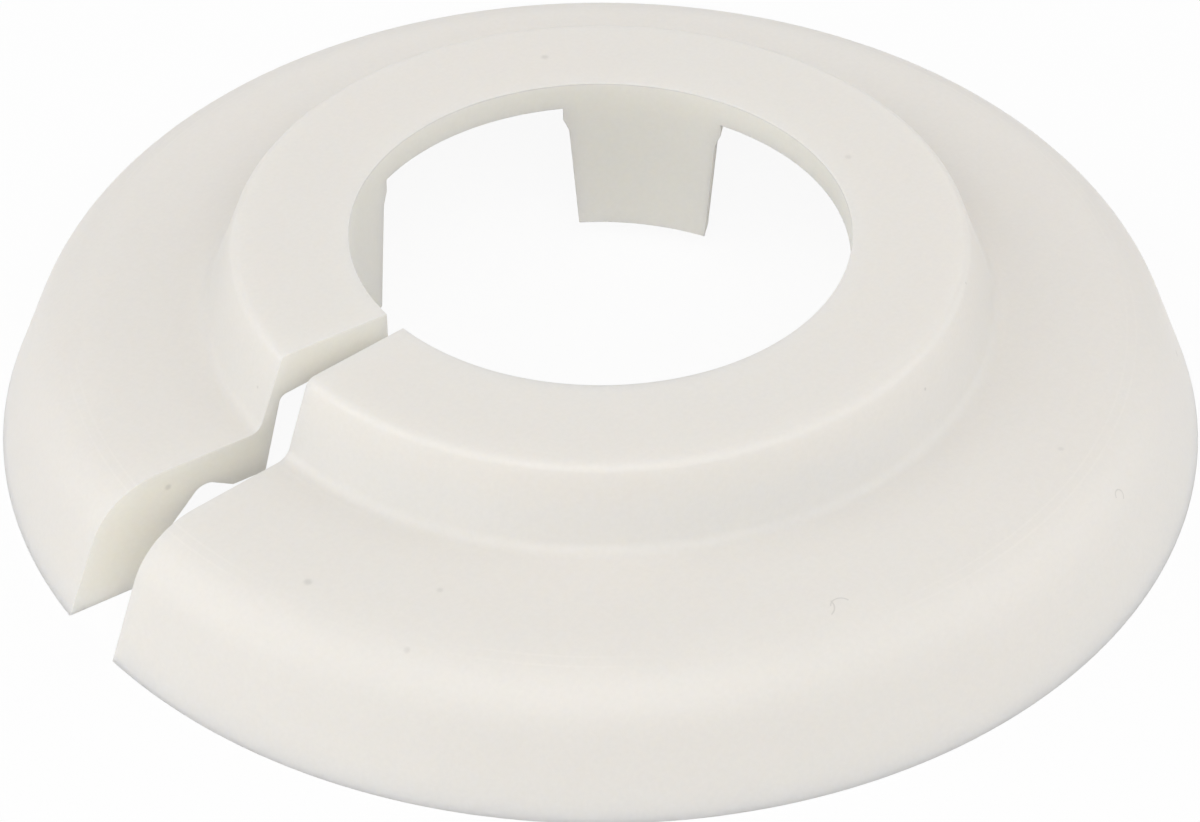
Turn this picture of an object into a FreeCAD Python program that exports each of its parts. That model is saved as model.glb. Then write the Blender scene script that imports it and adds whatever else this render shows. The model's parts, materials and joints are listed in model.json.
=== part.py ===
import FreeCAD, Part
import os
import Sketcher

# Radiator pipe collar: a split, stepped ring moulded in one piece.
# Z is the pipe's axis, Z = 0 is the face that lies against the floor or wall,
# and the split that lets the collar clip round a fixed pipe points along -X.

# Millimetres, apart from the turn of the first tab from +X and the spread, in degrees.
SIZES = {
    # From the bore outwards, each a step along the radius.
    "bore_diameter": 15.5,
    "plate_width": 3.58,
    "riser_run": 0.96,
    "flange_width": 5.03,
    "skirt_run": 1.68,
    # From the floor upwards, each a step in height.
    "flange_height": 3.95,
    "riser_height": 2.45,
    # Rounded edges of the outer side.
    "shoulder_radius": 2.45,
    "crown_radius": 0.35,
    # Walls and hollows of the under side.
    "lip_wall": 0.95,
    "plate_wall": 1.45,
    "riser_wall": 0.42,
    "ring_offset": 1.0,
    "ring_wall": 1.1,
    "ring_gap": 2.38,
    "ring_flare": 0.75,
    "flange_wall": 1.12,
    "rim_width": 3.35,
    "groove_bevel": 1.25,
    # Grip tabs that hang from the bore's edge.
    "tab_wall": 0.85,
    "tab_draft": 0.1,
    "tab_root_width": 5.25,
    "tab_neck_width": 4.85,
    "tab_tip_width": 4.3,
    "tab_neck_drop": 0.55,
    "tab_gap": 0.68,
    "tab_turn": 41.4,
    "tab_spread": 92.0,
    # The split, measured where it leaves the bore and where it leaves the foot.
    "split_inner_width": 0.82,
    "split_outer_width": 2.4,
}

# Radii and heights that several features share, in terms of the sizes.
BORE = "(sizes.bore_diameter / 2)"
CROWN = f"({BORE} + sizes.plate_width)"
STEP = f"({CROWN} + sizes.riser_run)"
SHOULDER = f"({STEP} + sizes.flange_width)"
FOOT = f"({SHOULDER} + sizes.skirt_run)"
RING = f"({STEP} + sizes.ring_offset)"
GROOVE = f"({FOOT} - sizes.rim_width)"
TOP = "(sizes.flange_height + sizes.riser_height)"
LIP_LEVEL = f"({TOP} - sizes.lip_wall)"
ROOT_LEVEL = f"({TOP} - sizes.plate_wall)"
ROOF_LEVEL = "(sizes.flange_height - sizes.flange_wall)"
RISER_LEAN = "(sizes.riser_run / sizes.riser_height)"
RISER_INSIDE = f"({CROWN} + sizes.plate_wall * {RISER_LEAN} - sizes.riser_wall)"
TAB_OUTSIDE = f"({BORE} + sizes.tab_wall)"

# Corners of the moulded section, from the rim's foot over the top and back underneath:
# radius, height and, where the corner is rounded, the size of its round.
SECTION = [
    (FOOT, "0"),
    (SHOULDER, "sizes.flange_height", "sizes.shoulder_radius"),
    (STEP, "sizes.flange_height"),
    (CROWN, TOP, "sizes.crown_radius"),
    (BORE, TOP),
    (BORE, LIP_LEVEL),
    (RISER_INSIDE, ROOT_LEVEL),
    (f"{RING} - sizes.ring_wall", "sizes.ring_gap"),
    (RING, "sizes.ring_gap"),
    (f"{RING} + sizes.ring_flare", ROOF_LEVEL),
    (f"{GROOVE} - sizes.groove_bevel", ROOF_LEVEL),
    (GROOVE, f"{ROOF_LEVEL} - sizes.groove_bevel"),
    (GROOVE, "0"),
]

# Two tabs stand apart by the spread, and the third faces the middle of them.
TABS = {
    "tab_right": "sizes.tab_turn",
    "tab_left": "sizes.tab_turn + sizes.tab_spread",
    "tab_facing": "sizes.tab_turn + sizes.tab_spread / 2 + 180",
}

TOLERANCE = 1e-4


def add_sizes(doc):
    sheet = doc.addObject("Spreadsheet::Sheet", "sizes")
    for row, (name, value) in enumerate(SIZES.items(), start=1):
        sheet.set(f"A{row}", name)
        sheet.set(f"B{row}", str(value))
        sheet.setAlias(f"B{row}", name)
    doc.recompute()
    return sheet


def plane_sketch(body, name, role):
    plane = next(f for f in body.Origin.OriginFeatures if f.Role == role)
    sketch = body.newObject("Sketcher::SketchObject", name)
    sketch.AttachmentSupport = [(plane, "")]
    sketch.MapMode = "FlatFace"
    return sketch


def upright_sketch(body, name, azimuth="0"):
    """A sketch in a plane through the pipe's axis, turned about that axis."""
    sketch = plane_sketch(body, name, "XZ_Plane")
    turn = FreeCAD.Rotation(FreeCAD.Vector(0, 1, 0), sketch.evalExpression(azimuth))
    sketch.AttachmentOffset = FreeCAD.Placement(FreeCAD.Vector(), turn)
    sketch.setExpression("AttachmentOffset.Rotation.Angle", azimuth)
    return sketch


def add_outline(sketch, corners):
    """A closed outline whose corners and rounds are set by expressions."""
    points = [
        FreeCAD.Vector(sketch.evalExpression(across), sketch.evalExpression(up), 0)
        for across, up, *_ in corners
    ]
    first = sketch.GeometryCount
    count = len(points)
    bound = {}
    for start, end in zip(points, points[1:] + points[:1]):
        sketch.addGeometry(Part.LineSegment(start, end))
    for index in range(count):
        following = first + (index + 1) % count
        sketch.addConstraint(Sketcher.Constraint("Coincident", first + index, 2, following, 1))
    for line, (point, (across, up, *_)) in enumerate(zip(points, corners), start=first):
        name = add_size(sketch, f"across_{line}", "DistanceX", -1, 1, line, 1, point.x)
        bound[name] = across
        if up == "0":
            sketch.addConstraint(Sketcher.Constraint("PointOnObject", line, 1, -1))
        else:
            name = add_size(sketch, f"up_{line}", "DistanceY", -1, 1, line, 1, point.y)
            bound[name] = up
    for line, (_, _, *rounded) in enumerate(corners, start=first):
        for radius in rounded:
            value = sketch.evalExpression(radius)
            arc = sketch.GeometryCount
            sketch.fillet(line, 1, value, True, True)
            name = add_size(sketch, f"round_{line}", "Radius", arc, value)
            bound[name] = radius
    for name, expression in bound.items():
        sketch.setExpression(f"Constraints.{name}", expression)


def add_size(sketch, name, *constraint):
    index = sketch.addConstraint(Sketcher.Constraint(*constraint))
    sketch.renameConstraint(index, name)
    return name


def add_ring(body):
    """The moulded section, swept once round the pipe's axis."""
    sketch = upright_sketch(body, "section", "180")
    add_outline(sketch, SECTION)
    ring = body.newObject("PartDesign::Revolution", "stepped_ring")
    ring.Profile = sketch
    ring.ReferenceAxis = (sketch, ["V_Axis"])
    ring.Angle = 360
    body.Document.recompute()


def cut_split(body):
    """A slot through the ring from bore to foot, wider towards the foot."""
    whole = body.Shape.Volume
    sketch = plane_sketch(body, "split_plan", "XY_Plane")
    flare = f"((sizes.split_outer_width - sizes.split_inner_width) / ({FOOT} - {BORE}))"
    inner_end = f"({BORE} / 2)"
    outer_end = f"({FOOT} + sizes.rim_width)"
    inner_half = f"(sizes.split_inner_width - {flare} * ({BORE} - {inner_end})) / 2"
    outer_half = f"(sizes.split_outer_width + {flare} * ({outer_end} - {FOOT})) / 2"
    add_outline(sketch, [
        (f"-{inner_end}", inner_half),
        (f"-{outer_end}", outer_half),
        (f"-{outer_end}", f"-{outer_half}"),
        (f"-{inner_end}", f"-{inner_half}"),
    ])
    split = body.newObject("PartDesign::Pocket", "split")
    split.Profile = sketch
    split.Type = "ThroughAll"
    split.Reversed = True
    body.Document.recompute()
    if body.Shape.Volume > whole - TOLERANCE:
        raise RuntimeError("the ring was not split")


def add_tab(body, name, azimuth):
    """A curved tab flush with the bore at its root, tapered to its tip in width and in wall."""
    doc = body.Document
    wall = upright_sketch(body, f"{name}_wall", azimuth)
    inside_plate = f"({TOP} - sizes.lip_wall / 2)"
    add_outline(wall, [
        (f"{BORE} + sizes.tab_draft", "sizes.tab_gap"),
        (TAB_OUTSIDE, "sizes.tab_gap"),
        (TAB_OUTSIDE, inside_plate),
        (BORE, LIP_LEVEL),
    ])
    tab = body.newObject("PartDesign::Revolution", name)
    tab.Profile = wall
    tab.ReferenceAxis = (wall, ["V_Axis"])
    tab.Midplane = True
    tab.setExpression("Angle", f"2 * asin(sizes.tab_root_width / 2 / {BORE})")
    doc.recompute()
    untrimmed = body.Shape.Volume

    trim = upright_sketch(body, f"{name}_trim", f"{azimuth} + 90")
    neck_level = f"({ROOT_LEVEL} - sizes.tab_neck_drop)"
    for side in ("", "-"):
        add_outline(trim, [
            (f"{side}sizes.tab_root_width / 2", ROOT_LEVEL),
            (f"{side}sizes.tab_neck_width / 2", neck_level),
            (f"{side}sizes.tab_tip_width / 2", "sizes.tab_gap"),
            (f"{side}sizes.tab_root_width", "sizes.tab_gap"),
            (f"{side}sizes.tab_root_width", ROOT_LEVEL),
        ])
    sides = body.newObject("PartDesign::Pocket", f"{name}_sides")
    sides.Profile = trim
    sides.Reversed = True
    sides.setExpression("Length", f"({TAB_OUTSIDE} + {RISER_INSIDE}) / 2")
    doc.recompute()
    if body.Shape.Volume > untrimmed - TOLERANCE:
        raise RuntimeError(f"{name}: the sides were not trimmed")


def check(doc, body):
    failed = [item.Name for item in doc.Objects if {"Invalid", "Error"} & set(item.State)]
    if failed:
        raise RuntimeError(f"failed features: {failed}")
    shape = body.Shape
    if shape.isNull() or not shape.isValid() or len(shape.Solids) != 1:
        raise RuntimeError(f"{body.Label} is not one valid solid")


def main():
    doc = FreeCAD.newDocument("collar")
    add_sizes(doc)
    body = doc.addObject("PartDesign::Body", "collar_body")
    body.Label = "pipe_collar"
    add_ring(body)
    cut_split(body)
    for name, azimuth in TABS.items():
        add_tab(body, name, azimuth)
    body.Placement = FreeCAD.Placement()
    doc.recompute()
    check(doc, body)

    os.makedirs("parts", exist_ok=True)
    body.Shape.exportStep(f"parts/{body.Label}.step")
    box = body.Shape.optimalBoundingBox()
    print(f"{body.Label}: {box.XLength:.2f} x {box.YLength:.2f} x {box.ZLength:.2f} mm,",
          f"{body.Shape.Volume:.1f} mm3")


main()
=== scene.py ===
import json
import math
import bmesh
import bpy
from mathutils import Matrix, Vector


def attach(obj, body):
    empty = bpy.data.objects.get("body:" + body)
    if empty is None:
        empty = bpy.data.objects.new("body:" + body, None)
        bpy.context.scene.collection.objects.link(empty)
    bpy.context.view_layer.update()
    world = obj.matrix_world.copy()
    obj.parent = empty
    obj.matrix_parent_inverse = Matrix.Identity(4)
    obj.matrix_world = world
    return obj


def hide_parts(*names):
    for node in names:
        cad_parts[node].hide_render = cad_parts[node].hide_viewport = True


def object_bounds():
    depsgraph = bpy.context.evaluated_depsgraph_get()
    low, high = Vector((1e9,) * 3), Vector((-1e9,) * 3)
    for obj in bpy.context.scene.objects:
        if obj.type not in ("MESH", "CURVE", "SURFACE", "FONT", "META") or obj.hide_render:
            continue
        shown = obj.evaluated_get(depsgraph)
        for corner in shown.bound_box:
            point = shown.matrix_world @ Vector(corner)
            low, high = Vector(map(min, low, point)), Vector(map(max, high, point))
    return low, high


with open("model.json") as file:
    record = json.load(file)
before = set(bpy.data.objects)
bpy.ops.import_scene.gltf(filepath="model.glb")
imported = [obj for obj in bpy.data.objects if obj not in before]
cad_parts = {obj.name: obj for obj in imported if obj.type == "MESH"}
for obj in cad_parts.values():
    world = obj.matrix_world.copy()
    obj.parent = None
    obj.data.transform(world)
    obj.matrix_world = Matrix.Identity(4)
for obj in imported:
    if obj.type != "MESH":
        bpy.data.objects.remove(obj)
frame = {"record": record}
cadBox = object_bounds()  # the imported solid's own box
mm = 0.001  # sizes in the dictionaries are millimetres
print("frame loaded, solid is", [round(side / mm, 2) for side in cadBox[1] - cadBox[0]], "mm")


# Shape of the collar

boreRadius = next(m["dims"]["r_mm"] for m in frame["record"]["mounts"] if m["name"] == "pipe_bore")
footRadius = (cadBox[1].y - cadBox[0].y) / 2 / mm
topLevel = cadBox[1].z / mm - 0.0005  # a hair under the solid's top

collarForm = {
    "section": {  # radius, height and round of each corner, from the foot over the top and back underneath
        "foot": (footRadius, 0.0, 0.0),
        "shoulder": (17.32, 3.95, 2.45),
        "step": (12.29, 3.95, 0.5),
        "crown": (11.33, topLevel, 0.35),
        "lipTop": (boreRadius, topLevel, 0.0),
        "lipUnder": (boreRadius, 5.45, 0.0),
        "tabSeat": (boreRadius + 0.85, 5.336, 0.0),  # outer faces of the tabs start here
        "plateRoot": (11.48, 4.95, 0.3),
        "ringInside": (12.19, 2.38, 0.0),
        "ringOutside": (13.29, 2.38, 0.0),
        "grooveInside": (14.04, 2.83, 0.4),
        "grooveOutside": (14.4, 2.83, 0.55),
        "grooveFoot": (15.65, 1.58, 0.8),
        "heel": (15.65, 0.0, 0.0),
    },
    "arcStep": 6.0,  # degrees between rows on a round
    "rowGap": 0.45,  # longest stretch between rows
    "columnStep": 1.4,  # degrees between columns
    "splitInner": 0.82,  # width of the split at the bore
    "splitOuter": 2.4,  # and at the foot
    "splitZone": 15.0,  # degrees either side of the split over which columns lean to its faces
    "edgeRound": 0.025,  # softness of the crisp moulded edges
    "edgeAngle": 35.0,  # degrees, only sharper edges are softened
    "edgeSegments": 3,
}

tabForm = {
    "turns": (-92.6, 41.4, 133.4),  # degrees round the pipe
    "rootWidth": 5.25,
    "neckWidth": 4.85,
    "tipWidth": 4.3,
    "rootLevel": 4.95,
    "neckLevel": 4.4,
    "tipLevel": 0.68,
    "draft": 0.1,  # lean of the inner face
    "rows": 22,
    "ledge": 0.015,  # share of the drop at which the sides leave the plate
}


def roundedCorner(before, here, after, rounding, arcStep):
    inward = (before - here).normalized()
    onward = (after - here).normalized()
    half = inward.angle(onward) / 2
    centre = here + (inward + onward).normalized() * rounding / math.sin(half)
    start = here + inward * rounding / math.tan(half) - centre
    turn = math.copysign(math.pi - 2 * half, -inward.cross(onward))
    steps = max(2, math.ceil(abs(math.degrees(turn)) / arcStep))
    return [centre + Matrix.Rotation(turn * k / steps, 2) @ start for k in range(steps + 1)]


def collarRows(form):
    corners = list(form["section"].items())
    outline = []
    for index, (name, (radius, level, rounding)) in enumerate(corners):
        here = Vector((radius, level))
        if rounding:
            before = Vector(corners[index - 1][1][:2])
            after = Vector(corners[(index + 1) % len(corners)][1][:2])
            arc = roundedCorner(before, here, after, rounding, form["arcStep"])
            outline += [(name, point) for point in arc]
        else:
            outline.append((name, here))
    rows = []
    for (name, point), (_, following) in zip(outline, outline[1:] + outline[:1]):
        pieces = math.ceil((following - point).length / form["rowGap"])
        if name == "lipUnder":
            pieces = 1  # the tabs hang from this strip
        rows += [(name if k == 0 else "", point.lerp(following, k / pieces)) for k in range(pieces)]
    return rows


def splitLean(form):
    return (form["splitOuter"] - form["splitInner"]) / 2 / (footRadius - boreRadius)


def splitTurn(form, radius):
    lean = splitLean(form)
    nearHalf = form["splitInner"] / 2 - lean * boreRadius
    tilt = math.atan(lean)
    return math.degrees(tilt + math.asin(nearHalf * math.cos(tilt) / radius))


def collarPlace(form, radius, level, turn):
    straight = 180 - form["splitZone"]
    if abs(turn) > straight:
        room = 1 - splitTurn(form, radius) / form["splitZone"]  # what the split leaves of the zone
        turn = math.copysign(straight + (abs(turn) - straight) * room, turn)
    angle = math.radians(turn)
    return Vector((radius * math.cos(angle), radius * math.sin(angle), level)) * mm


def collarTurns(form, tabs):
    spread = math.degrees(math.asin(tabs["rootWidth"] / 2 / boreRadius))
    marks = sorted(turn + side * spread for turn in tabs["turns"] for side in (-1, 1))
    marks = [-180.0, *marks, 180.0]
    turns = []
    for low, high in zip(marks, marks[1:]):
        pieces = round((high - low) / form["columnStep"])
        turns += [low + (high - low) * k / pieces for k in range(pieces)]
    return turns + [180.0], spread


def tabHalf(tabs, level):
    root, neck, tip = (tabs[key] / 2 for key in ("rootWidth", "neckWidth", "tipWidth"))
    if level > tabs["neckLevel"]:
        flare = min(1, (level - tabs["neckLevel"]) / (tabs["rootLevel"] - tabs["neckLevel"]))
        return neck + (root - neck) * flare * flare
    fall = (level - tabs["tipLevel"]) / (tabs["neckLevel"] - tabs["tipLevel"])
    return tip + (neck - tip) * fall


def hangTab(mesh, form, tabs, tabTurn, turns, lipEdge, seatEdge):
    seatRadius = form["section"]["tabSeat"][0]
    lipLevel = form["section"]["lipUnder"][1]
    seatLevel = form["section"]["tabSeat"][1]
    root = tabs["rootWidth"] / 2
    shares = [math.sin(math.radians(turn - tabTurn)) * boreRadius / root for turn in turns]
    inner, outer = [lipEdge], [seatEdge]
    levels = [tabs["ledge"]] + [row / tabs["rows"] for row in range(1, tabs["rows"] + 1)]
    for down in levels:
        inner.append([])
        outer.append([])
        for share in shares:
            level = lipLevel + (tabs["tipLevel"] - lipLevel) * down
            radius = boreRadius + tabs["draft"] * down
            turn = tabTurn + math.degrees(math.asin(share * tabHalf(tabs, level) / radius))
            inner[-1].append(mesh.verts.new(collarPlace(form, radius, level, turn)))
            level = seatLevel + (tabs["tipLevel"] - seatLevel) * down
            turn = tabTurn + math.degrees(math.asin(share * tabHalf(tabs, level) / seatRadius))
            outer[-1].append(mesh.verts.new(collarPlace(form, seatRadius, level, turn)))
    loop = inner + outer[::-1]  # down the inner face and back up the outer one
    for upper, lower in zip(loop, loop[1:]):
        for k in range(len(shares) - 1):
            mesh.faces.new((upper[k], upper[k + 1], lower[k + 1], lower[k]))
    for row in range(len(levels)):
        side = (inner[row][0], inner[row + 1][0], outer[row + 1][0], outer[row][0])
        mesh.faces.new(side)
        side = (inner[row][-1], inner[row + 1][-1], outer[row + 1][-1], outer[row][-1])
        mesh.faces.new(side[::-1])


def buildCollar(form, tabs):
    rows = collarRows(form)
    turns, spread = collarTurns(form, tabs)
    names = [name for name, _ in rows]
    lip, seat = names.index("lipUnder"), names.index("tabSeat")
    mesh = bmesh.new()
    grid = [[mesh.verts.new(collarPlace(form, *point, turn)) for turn in turns] for _, point in rows]
    tabColumns = {}
    for tabTurn in tabs["turns"]:
        reach = [k for k, turn in enumerate(turns) if abs(turn - tabTurn) < spread + form["columnStep"] / 2]
        tabColumns[tabTurn] = (reach[0], reach[-1])
    for row, upper in enumerate(grid):
        lower = grid[(row + 1) % len(grid)]
        for k in range(len(turns) - 1):
            if row == lip and any(first <= k < last for first, last in tabColumns.values()):
                continue
            mesh.faces.new((upper[k], upper[k + 1], lower[k + 1], lower[k]))
    mesh.faces.new([row[0] for row in grid])  # the two faces of the split
    mesh.faces.new([row[-1] for row in grid][::-1])
    for tabTurn, (first, last) in tabColumns.items():
        span = slice(first, last + 1)
        hangTab(mesh, form, tabs, tabTurn, turns[span], grid[lip][span], grid[seat][span])
    data = bpy.data.meshes.new("collarMoulding")
    mesh.to_mesh(data)
    mesh.free()
    data.shade_smooth()
    collar = bpy.data.objects.new("collar_moulding", data)
    bpy.context.scene.collection.objects.link(collar)
    soften = collar.modifiers.new("mouldedEdges", "BEVEL")
    soften.width = form["edgeRound"] * mm
    soften.segments = form["edgeSegments"]
    soften.limit_method = "ANGLE"
    soften.angle_limit = math.radians(form["edgeAngle"])
    soften.harden_normals = True
    return collar


collar = buildCollar(collarForm, tabForm)
print("collar moulded with", len(collar.data.polygons), "faces")


# White plastic of the collar

plasticFinish = {
    "colour": (0.812, 0.791, 0.748, 1.0),
    "warmer": (0.822, 0.786, 0.74, 1.0),  # the colour drifts a little towards this
    "roughness": (0.4, 0.5),  # lowest and highest
    "glow": 0.5,  # share of light that wanders under the skin
    "glowReach": 1.2,  # mm
    "glowColours": (1.0, 0.9, 0.72),  # share of that reach for red, green and blue
    "bending": 1.46,  # index of refraction
    "driftScale": 0.09,  # features per mm
    "mottle": (0.32, 0.022),  # features per mm, share of the shade
    "grain": (7.0, 0.05),  # the same for the fine grain
    "mottleSpan": (0.3, 0.7),  # where the mottle meets the two ends of the roughness
    "grainRelief": 0.004,  # mm
    "reliefStrength": 0.6,
    "witnessRadii": (16.38, 16.66),  # fine lines left by the mould on the shoulder, painted paler as the highlight their ridges catch
    "witnessWidth": 0.05,
    "witnessLevel": 3.7,  # the lines show only above this
    "witnessHighlight": 0.02,
    "witnessBreaks": (0.15, 0.42, 0.6),  # features per mm, where a line is gone and where it is whole
    "paintedLight": (0.93, 0.9, 0.828, 1.0),  # painted light: bore, tabs and split's faces are painted paler and yellower than the outside, lifting the shade that falls in them
    "paintedLightMargins": (0.1, 0.06, 0.008),  # mm past the tabs, under the top and off the split's faces, where the paler painted light goes
    "specks": [  # place, size and depth of the dust specks
        ((4.27, 8.45, 6.4), 0.19, 0.75),
        ((8.4, -1.99, 6.4), 0.16, 0.6),
        ((-15.37, 0.95, 3.31), 0.15, 1.0),
        ((-14.77, -5.56, 3.95), 0.18, 0.9),
        ((-12.04, -8.11, 3.95), 0.14, 0.6),
        ((-14.01, -9.27, 3.69), 0.14, 0.55),
        ((13.9, -11.75, 1.88), 0.15, 1.0),
        ((3.34, -11.21, 5.44), 0.08, 1.0),
        ((5.92, -14.45, 3.95), 0.13, 0.5),
        ((7.0, -8.96, 6.26), 0.07, 0.8),
        ((-11.79, 1.4, 5.0), 0.07, 0.8),
    ],
    "speckShade": 0.17,
    "fibres": [  # middle of each curl, its radius, the side where it is open and how far it is open
        ((-3.6, -15.5, 3.94), 0.3, (-0.22, -0.97, 0.0), -0.35),
        ((-4.1, -15.2, 3.95), 0.38, (-0.79, 0.62, 0.0), -0.75),
        ((6.6, -16.3, 3.02), 0.19, (-0.45, -0.58, -0.68), 0.4),
    ],
    "fibreWidth": 0.035,
    "fibreShade": 0.16,
}


def addNode(tree, kind, operation="", **values):
    node = tree.nodes.new(f"ShaderNode{kind}")
    if operation:
        node.operation = operation
    for name, value in values.items():  # _0 is the first input, From_Min the one called From Min
        slot = int(name[1:]) if name[1:].isdigit() else name.replace("_", " ")
        if isinstance(value, bpy.types.NodeSocket):
            tree.links.new(value, node.inputs[slot])
        else:
            node.inputs[slot].default_value = value
    return node


def nearMask(tree, distance, width, depth=1.0, core=0.2):
    mask = addNode(tree, "MapRange", Value=distance, From_Min=core * width, From_Max=width)
    mask.interpolation_type = "SMOOTHSTEP"
    mask.inputs["To Min"].default_value = depth
    mask.inputs["To Max"].default_value = 0.0
    return mask.outputs["Result"]


def joinMasks(tree, masks):
    total, *others = masks
    for mask in others:
        total = addNode(tree, "Math", "MAXIMUM", _0=total, _1=mask).outputs[0]
    return total


def pipeDistance(tree, skin):
    flat = addNode(tree, "VectorMath", "MULTIPLY", _0=skin, _1=(1, 1, 0)).outputs[0]
    return addNode(tree, "VectorMath", "LENGTH", _0=flat).outputs["Value"]


def lineMask(tree, distance, line, width):
    off = addNode(tree, "Math", "SUBTRACT", _0=distance, _1=line).outputs[0]
    return nearMask(tree, addNode(tree, "Math", "ABSOLUTE", _0=off).outputs[0], width)


def speckMask(tree, skin, specks):
    masks = []
    for place, size, depth in specks:
        apart = addNode(tree, "VectorMath", "DISTANCE", _0=skin, _1=place).outputs["Value"]
        masks.append(nearMask(tree, apart, size, depth))
    return joinMasks(tree, masks)


def fibreMask(tree, skin, fibres, width):
    masks = []
    for place, curl, openSide, opening in fibres:
        apart = addNode(tree, "VectorMath", "DISTANCE", _0=skin, _1=place).outputs["Value"]
        ring = lineMask(tree, apart, curl, width)
        offset = addNode(tree, "VectorMath", "SUBTRACT", _0=skin, _1=place).outputs[0]
        along = addNode(tree, "VectorMath", "DOT_PRODUCT", _0=offset, _1=openSide).outputs["Value"]
        shut = addNode(tree, "Math", "LESS_THAN", _0=along, _1=opening * curl).outputs[0]
        masks.append(addNode(tree, "Math", "MULTIPLY", _0=ring, _1=shut).outputs[0])
    return joinMasks(tree, masks)


# mask of the mould's witness lines, where a paler painted highlight goes
def witnessMask(tree, skin, finish):
    radius = pipeDistance(tree, skin)
    lines = joinMasks(
        tree, [lineMask(tree, radius, line, finish["witnessWidth"]) for line in finish["witnessRadii"]]
    )
    scale, gone, whole = finish["witnessBreaks"]
    broken = addNode(tree, "TexNoise", Vector=skin, Scale=scale, Detail=1.0).outputs[0]
    worn = addNode(tree, "MapRange", Value=broken, From_Min=gone, From_Max=whole).outputs["Result"]
    level = addNode(tree, "SeparateXYZ", Vector=skin).outputs["Z"]
    outside = addNode(tree, "Math", "GREATER_THAN", _0=level, _1=finish["witnessLevel"]).outputs[0]
    worn = addNode(tree, "Math", "MULTIPLY", _0=worn, _1=outside).outputs[0]
    return addNode(tree, "Math", "MULTIPLY", _0=lines, _1=worn).outputs[0]


# mask of the bore, tabs and split's faces, where a paler colour is painted over their shade as painted
# light
def paintedLightMask(tree, skin, form, margins):
    pastTab, underTop, offFace = margins
    reach = form["section"]["tabSeat"][0] + pastTab
    axes = addNode(tree, "SeparateXYZ", Vector=skin).outputs
    inside = addNode(tree, "Math", "LESS_THAN", _0=pipeDistance(tree, skin), _1=reach).outputs[0]
    under = addNode(tree, "Math", "LESS_THAN", _0=axes["Z"], _1=topLevel - underTop).outputs[0]
    bore = addNode(tree, "Math", "MULTIPLY", _0=inside, _1=under).outputs[0]
    lean = splitLean(form)
    aside = addNode(tree, "Math", "ABSOLUTE", _0=axes["Y"]).outputs[0]
    aside = addNode(tree, "Math", "MULTIPLY_ADD", _0=axes["X"], _1=lean, _2=aside).outputs[0]
    face = form["splitInner"] / 2 - lean * boreRadius
    split = addNode(tree, "Math", "LESS_THAN", _0=aside, _1=face + offFace).outputs[0]
    return joinMasks(tree, (bore, split))


def paintPlastic(finish):
    material = bpy.data.materials.new("mouldedWhite")
    material.use_nodes = True
    tree = material.node_tree
    shader = tree.nodes["Principled BSDF"]
    place = addNode(tree, "TexCoord").outputs["Object"]
    skin = addNode(tree, "VectorMath", "SCALE", _0=place, Scale=1 / mm).outputs[0]  # in mm
    mottleScale, mottleShare = finish["mottle"]
    grainScale, grainShare = finish["grain"]
    mottle = addNode(tree, "TexNoise", Vector=skin, Scale=mottleScale, Detail=3.0).outputs[0]
    grain = addNode(tree, "TexNoise", Vector=skin, Scale=grainScale, Detail=2.0).outputs[0]
    drift = addNode(tree, "TexNoise", Vector=skin, Scale=finish["driftScale"], Detail=2.0).outputs[0]
    grainMiddle = addNode(tree, "Math", "SUBTRACT", _0=grain, _1=0.5).outputs[0]
    shade = 1 - mottleShare / 2
    for mask, share in (
        (mottle, mottleShare),
        (grainMiddle, grainShare),
        # the mould's witness lines, painted paler: a painted highlight along them
        (witnessMask(tree, skin, finish), finish["witnessHighlight"]),
        (speckMask(tree, skin, finish["specks"]), -finish["speckShade"]),
        (fibreMask(tree, skin, finish["fibres"], finish["fibreWidth"]), -finish["fibreShade"]),
    ):
        shade = addNode(tree, "Math", "MULTIPLY_ADD", _0=mask, _1=share, _2=shade).outputs[0]
    outside = addNode(tree, "Mix", _0=drift, _6=finish["colour"], _7=finish["warmer"])
    # painted light: the sheltered faces get a paler, yellower colour that lifts their shade
    paintedLight = paintedLightMask(tree, skin, collarForm, finish["paintedLightMargins"])
    colour = addNode(tree, "Mix", _0=paintedLight, _6=outside.outputs[2], _7=finish["paintedLight"])
    outside.data_type = colour.data_type = "RGBA"
    shaded = addNode(tree, "VectorMath", "SCALE", _0=colour.outputs[2], Scale=shade)
    tree.links.new(shaded.outputs[0], shader.inputs["Base Color"])
    low, high = finish["mottleSpan"]
    gloss = addNode(tree, "MapRange", Value=mottle, From_Min=low, From_Max=high)
    gloss.inputs["To Min"].default_value, gloss.inputs["To Max"].default_value = finish["roughness"]
    tree.links.new(gloss.outputs["Result"], shader.inputs["Roughness"])
    bump = addNode(tree, "Bump", Height=grain, Strength=finish["reliefStrength"])
    bump.inputs["Distance"].default_value = finish["grainRelief"] * mm
    tree.links.new(bump.outputs["Normal"], shader.inputs["Normal"])
    shader.inputs["Subsurface Weight"].default_value = finish["glow"]
    shader.inputs["Subsurface Radius"].default_value = finish["glowColours"]
    shader.inputs["Subsurface Scale"].default_value = finish["glowReach"] * mm
    shader.inputs["IOR"].default_value = finish["bending"]
    return material


collar.data.materials.append(paintPlastic(plasticFinish))
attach(collar, "root")
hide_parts("pipe_collar")
print("plastic finished")


# Floor, light and camera

studio = {
    "floorReach": 2000.0,
    "floorShade": 0.93,
    "floorWhite": 0.93,  # share of the floor that shows as plain white
    "skyLight": 0.13,  # strength of the white surroundings on the collar
    "lampReach": 320.0,  # from the collar
    "lamps": {  # degrees round the pipe, degrees above the floor, width, power in watts
        "frontSoftbox": (232, 48, 300.0, 0.585),
        "leftSoftbox": (150, 30, 300.0, 0.495),
        "rightSoftbox": (322, 30, 300.0, 0.42),
        "backSoftbox": (52, 35, 300.0, 0.19),
    },
}


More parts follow.
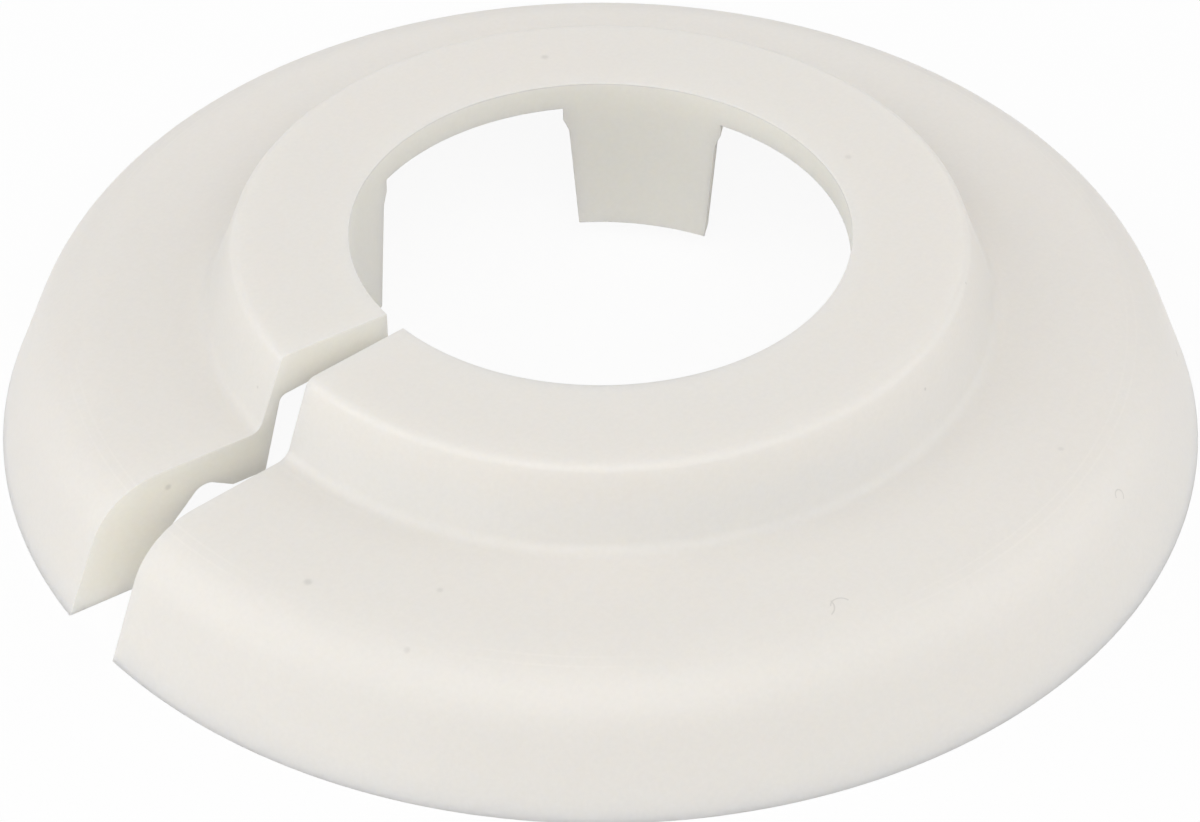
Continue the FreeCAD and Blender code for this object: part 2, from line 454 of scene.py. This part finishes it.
def showsWhite(tree):
    path = addNode(tree, "LightPath").outputs
    return joinMasks(tree, [path[f"Is {ray} Ray"] for ray in ("Camera", "Glossy", "Transmission")])


def layFloor(settings):
    reach = settings["floorReach"] / 2 * mm
    data = bpy.data.meshes.new("whiteFloor")
    corners = [(-reach, -reach, 0), (reach, -reach, 0), (reach, reach, 0), (-reach, reach, 0)]
    data.from_pydata(corners, [], [(0, 1, 2, 3)])
    floor = bpy.data.objects.new("white_floor", data)
    bpy.context.scene.collection.objects.link(floor)
    material = bpy.data.materials.new("floorPaper")
    material.use_nodes = True
    tree = material.node_tree
    tree.nodes.clear()
    paper = addNode(tree, "BsdfDiffuse", Color=(*[settings["floorShade"]] * 3, 1))
    white = addNode(tree, "Emission")
    share = addNode(tree, "Math", "MULTIPLY", _0=showsWhite(tree), _1=settings["floorWhite"])
    upper = addNode(tree, "MixShader", Fac=share.outputs[0], _1=paper.outputs[0], _2=white.outputs[0])
    below = addNode(tree, "NewGeometry").outputs["Backfacing"]  # the floor is clear from below
    clear = addNode(tree, "BsdfTransparent")
    both = addNode(tree, "MixShader", Fac=below, _1=upper.outputs[0], _2=clear.outputs[0])
    addNode(tree, "OutputMaterial", Surface=both.outputs[0])
    data.materials.append(material)


def lightStudio(settings):
    world = bpy.data.worlds.new("whiteTent")
    bpy.context.scene.world = world
    world.use_nodes = True
    tree = world.node_tree
    tree.nodes.clear()
    sky = addNode(tree, "Background", Color=(1, 1, 1, 1), Strength=settings["skyLight"])
    white = addNode(tree, "Background", Color=(1, 1, 1, 1))
    mix = addNode(tree, "MixShader", Fac=showsWhite(tree), _1=sky.outputs[0], _2=white.outputs[0])
    addNode(tree, "OutputWorld", Surface=mix.outputs[0])
    for name, (turn, rise, width, power) in settings["lamps"].items():
        lamp = bpy.data.lights.new(name, "AREA")
        lamp.size = width * mm
        lamp.energy = power
        holder = bpy.data.objects.new(name, lamp)
        aim = Matrix.Rotation(math.radians(turn), 3, "Z") @ Matrix.Rotation(math.radians(-rise), 3, "Y")
        holder.location = aim @ Vector((settings["lampReach"] * mm, 0, 0))
        holder.rotation_euler = (-holder.location).to_track_quat("-Z", "Y").to_euler()
        bpy.context.scene.collection.objects.link(holder)


cameraSettings = {
    "place": (-48.5, -62.05, 64.93),
    "lookDown": 39.97,  # degrees
    "heading": -38.0,
    "lens": 95.34,
    "sensor": 36.0,
    "clipStart": 1.0,
}


def aimCamera(settings):
    data = bpy.data.cameras.new("photoCamera")
    data.lens = settings["lens"]
    data.sensor_width = settings["sensor"]
    data.clip_start = settings["clipStart"] * mm
    camera = bpy.data.objects.new("photoCamera", data)
    camera.location = Vector(settings["place"]) * mm
    tilt, heading = math.radians(90 - settings["lookDown"]), math.radians(settings["heading"])
    camera.rotation_euler = (tilt, 0, heading)
    bpy.context.scene.collection.objects.link(camera)
    bpy.context.scene.camera = camera


layFloor(studio)
lightStudio(studio)
aimCamera(cameraSettings)
bpy.context.scene.view_settings.view_transform = "Standard"
print("studio ready")
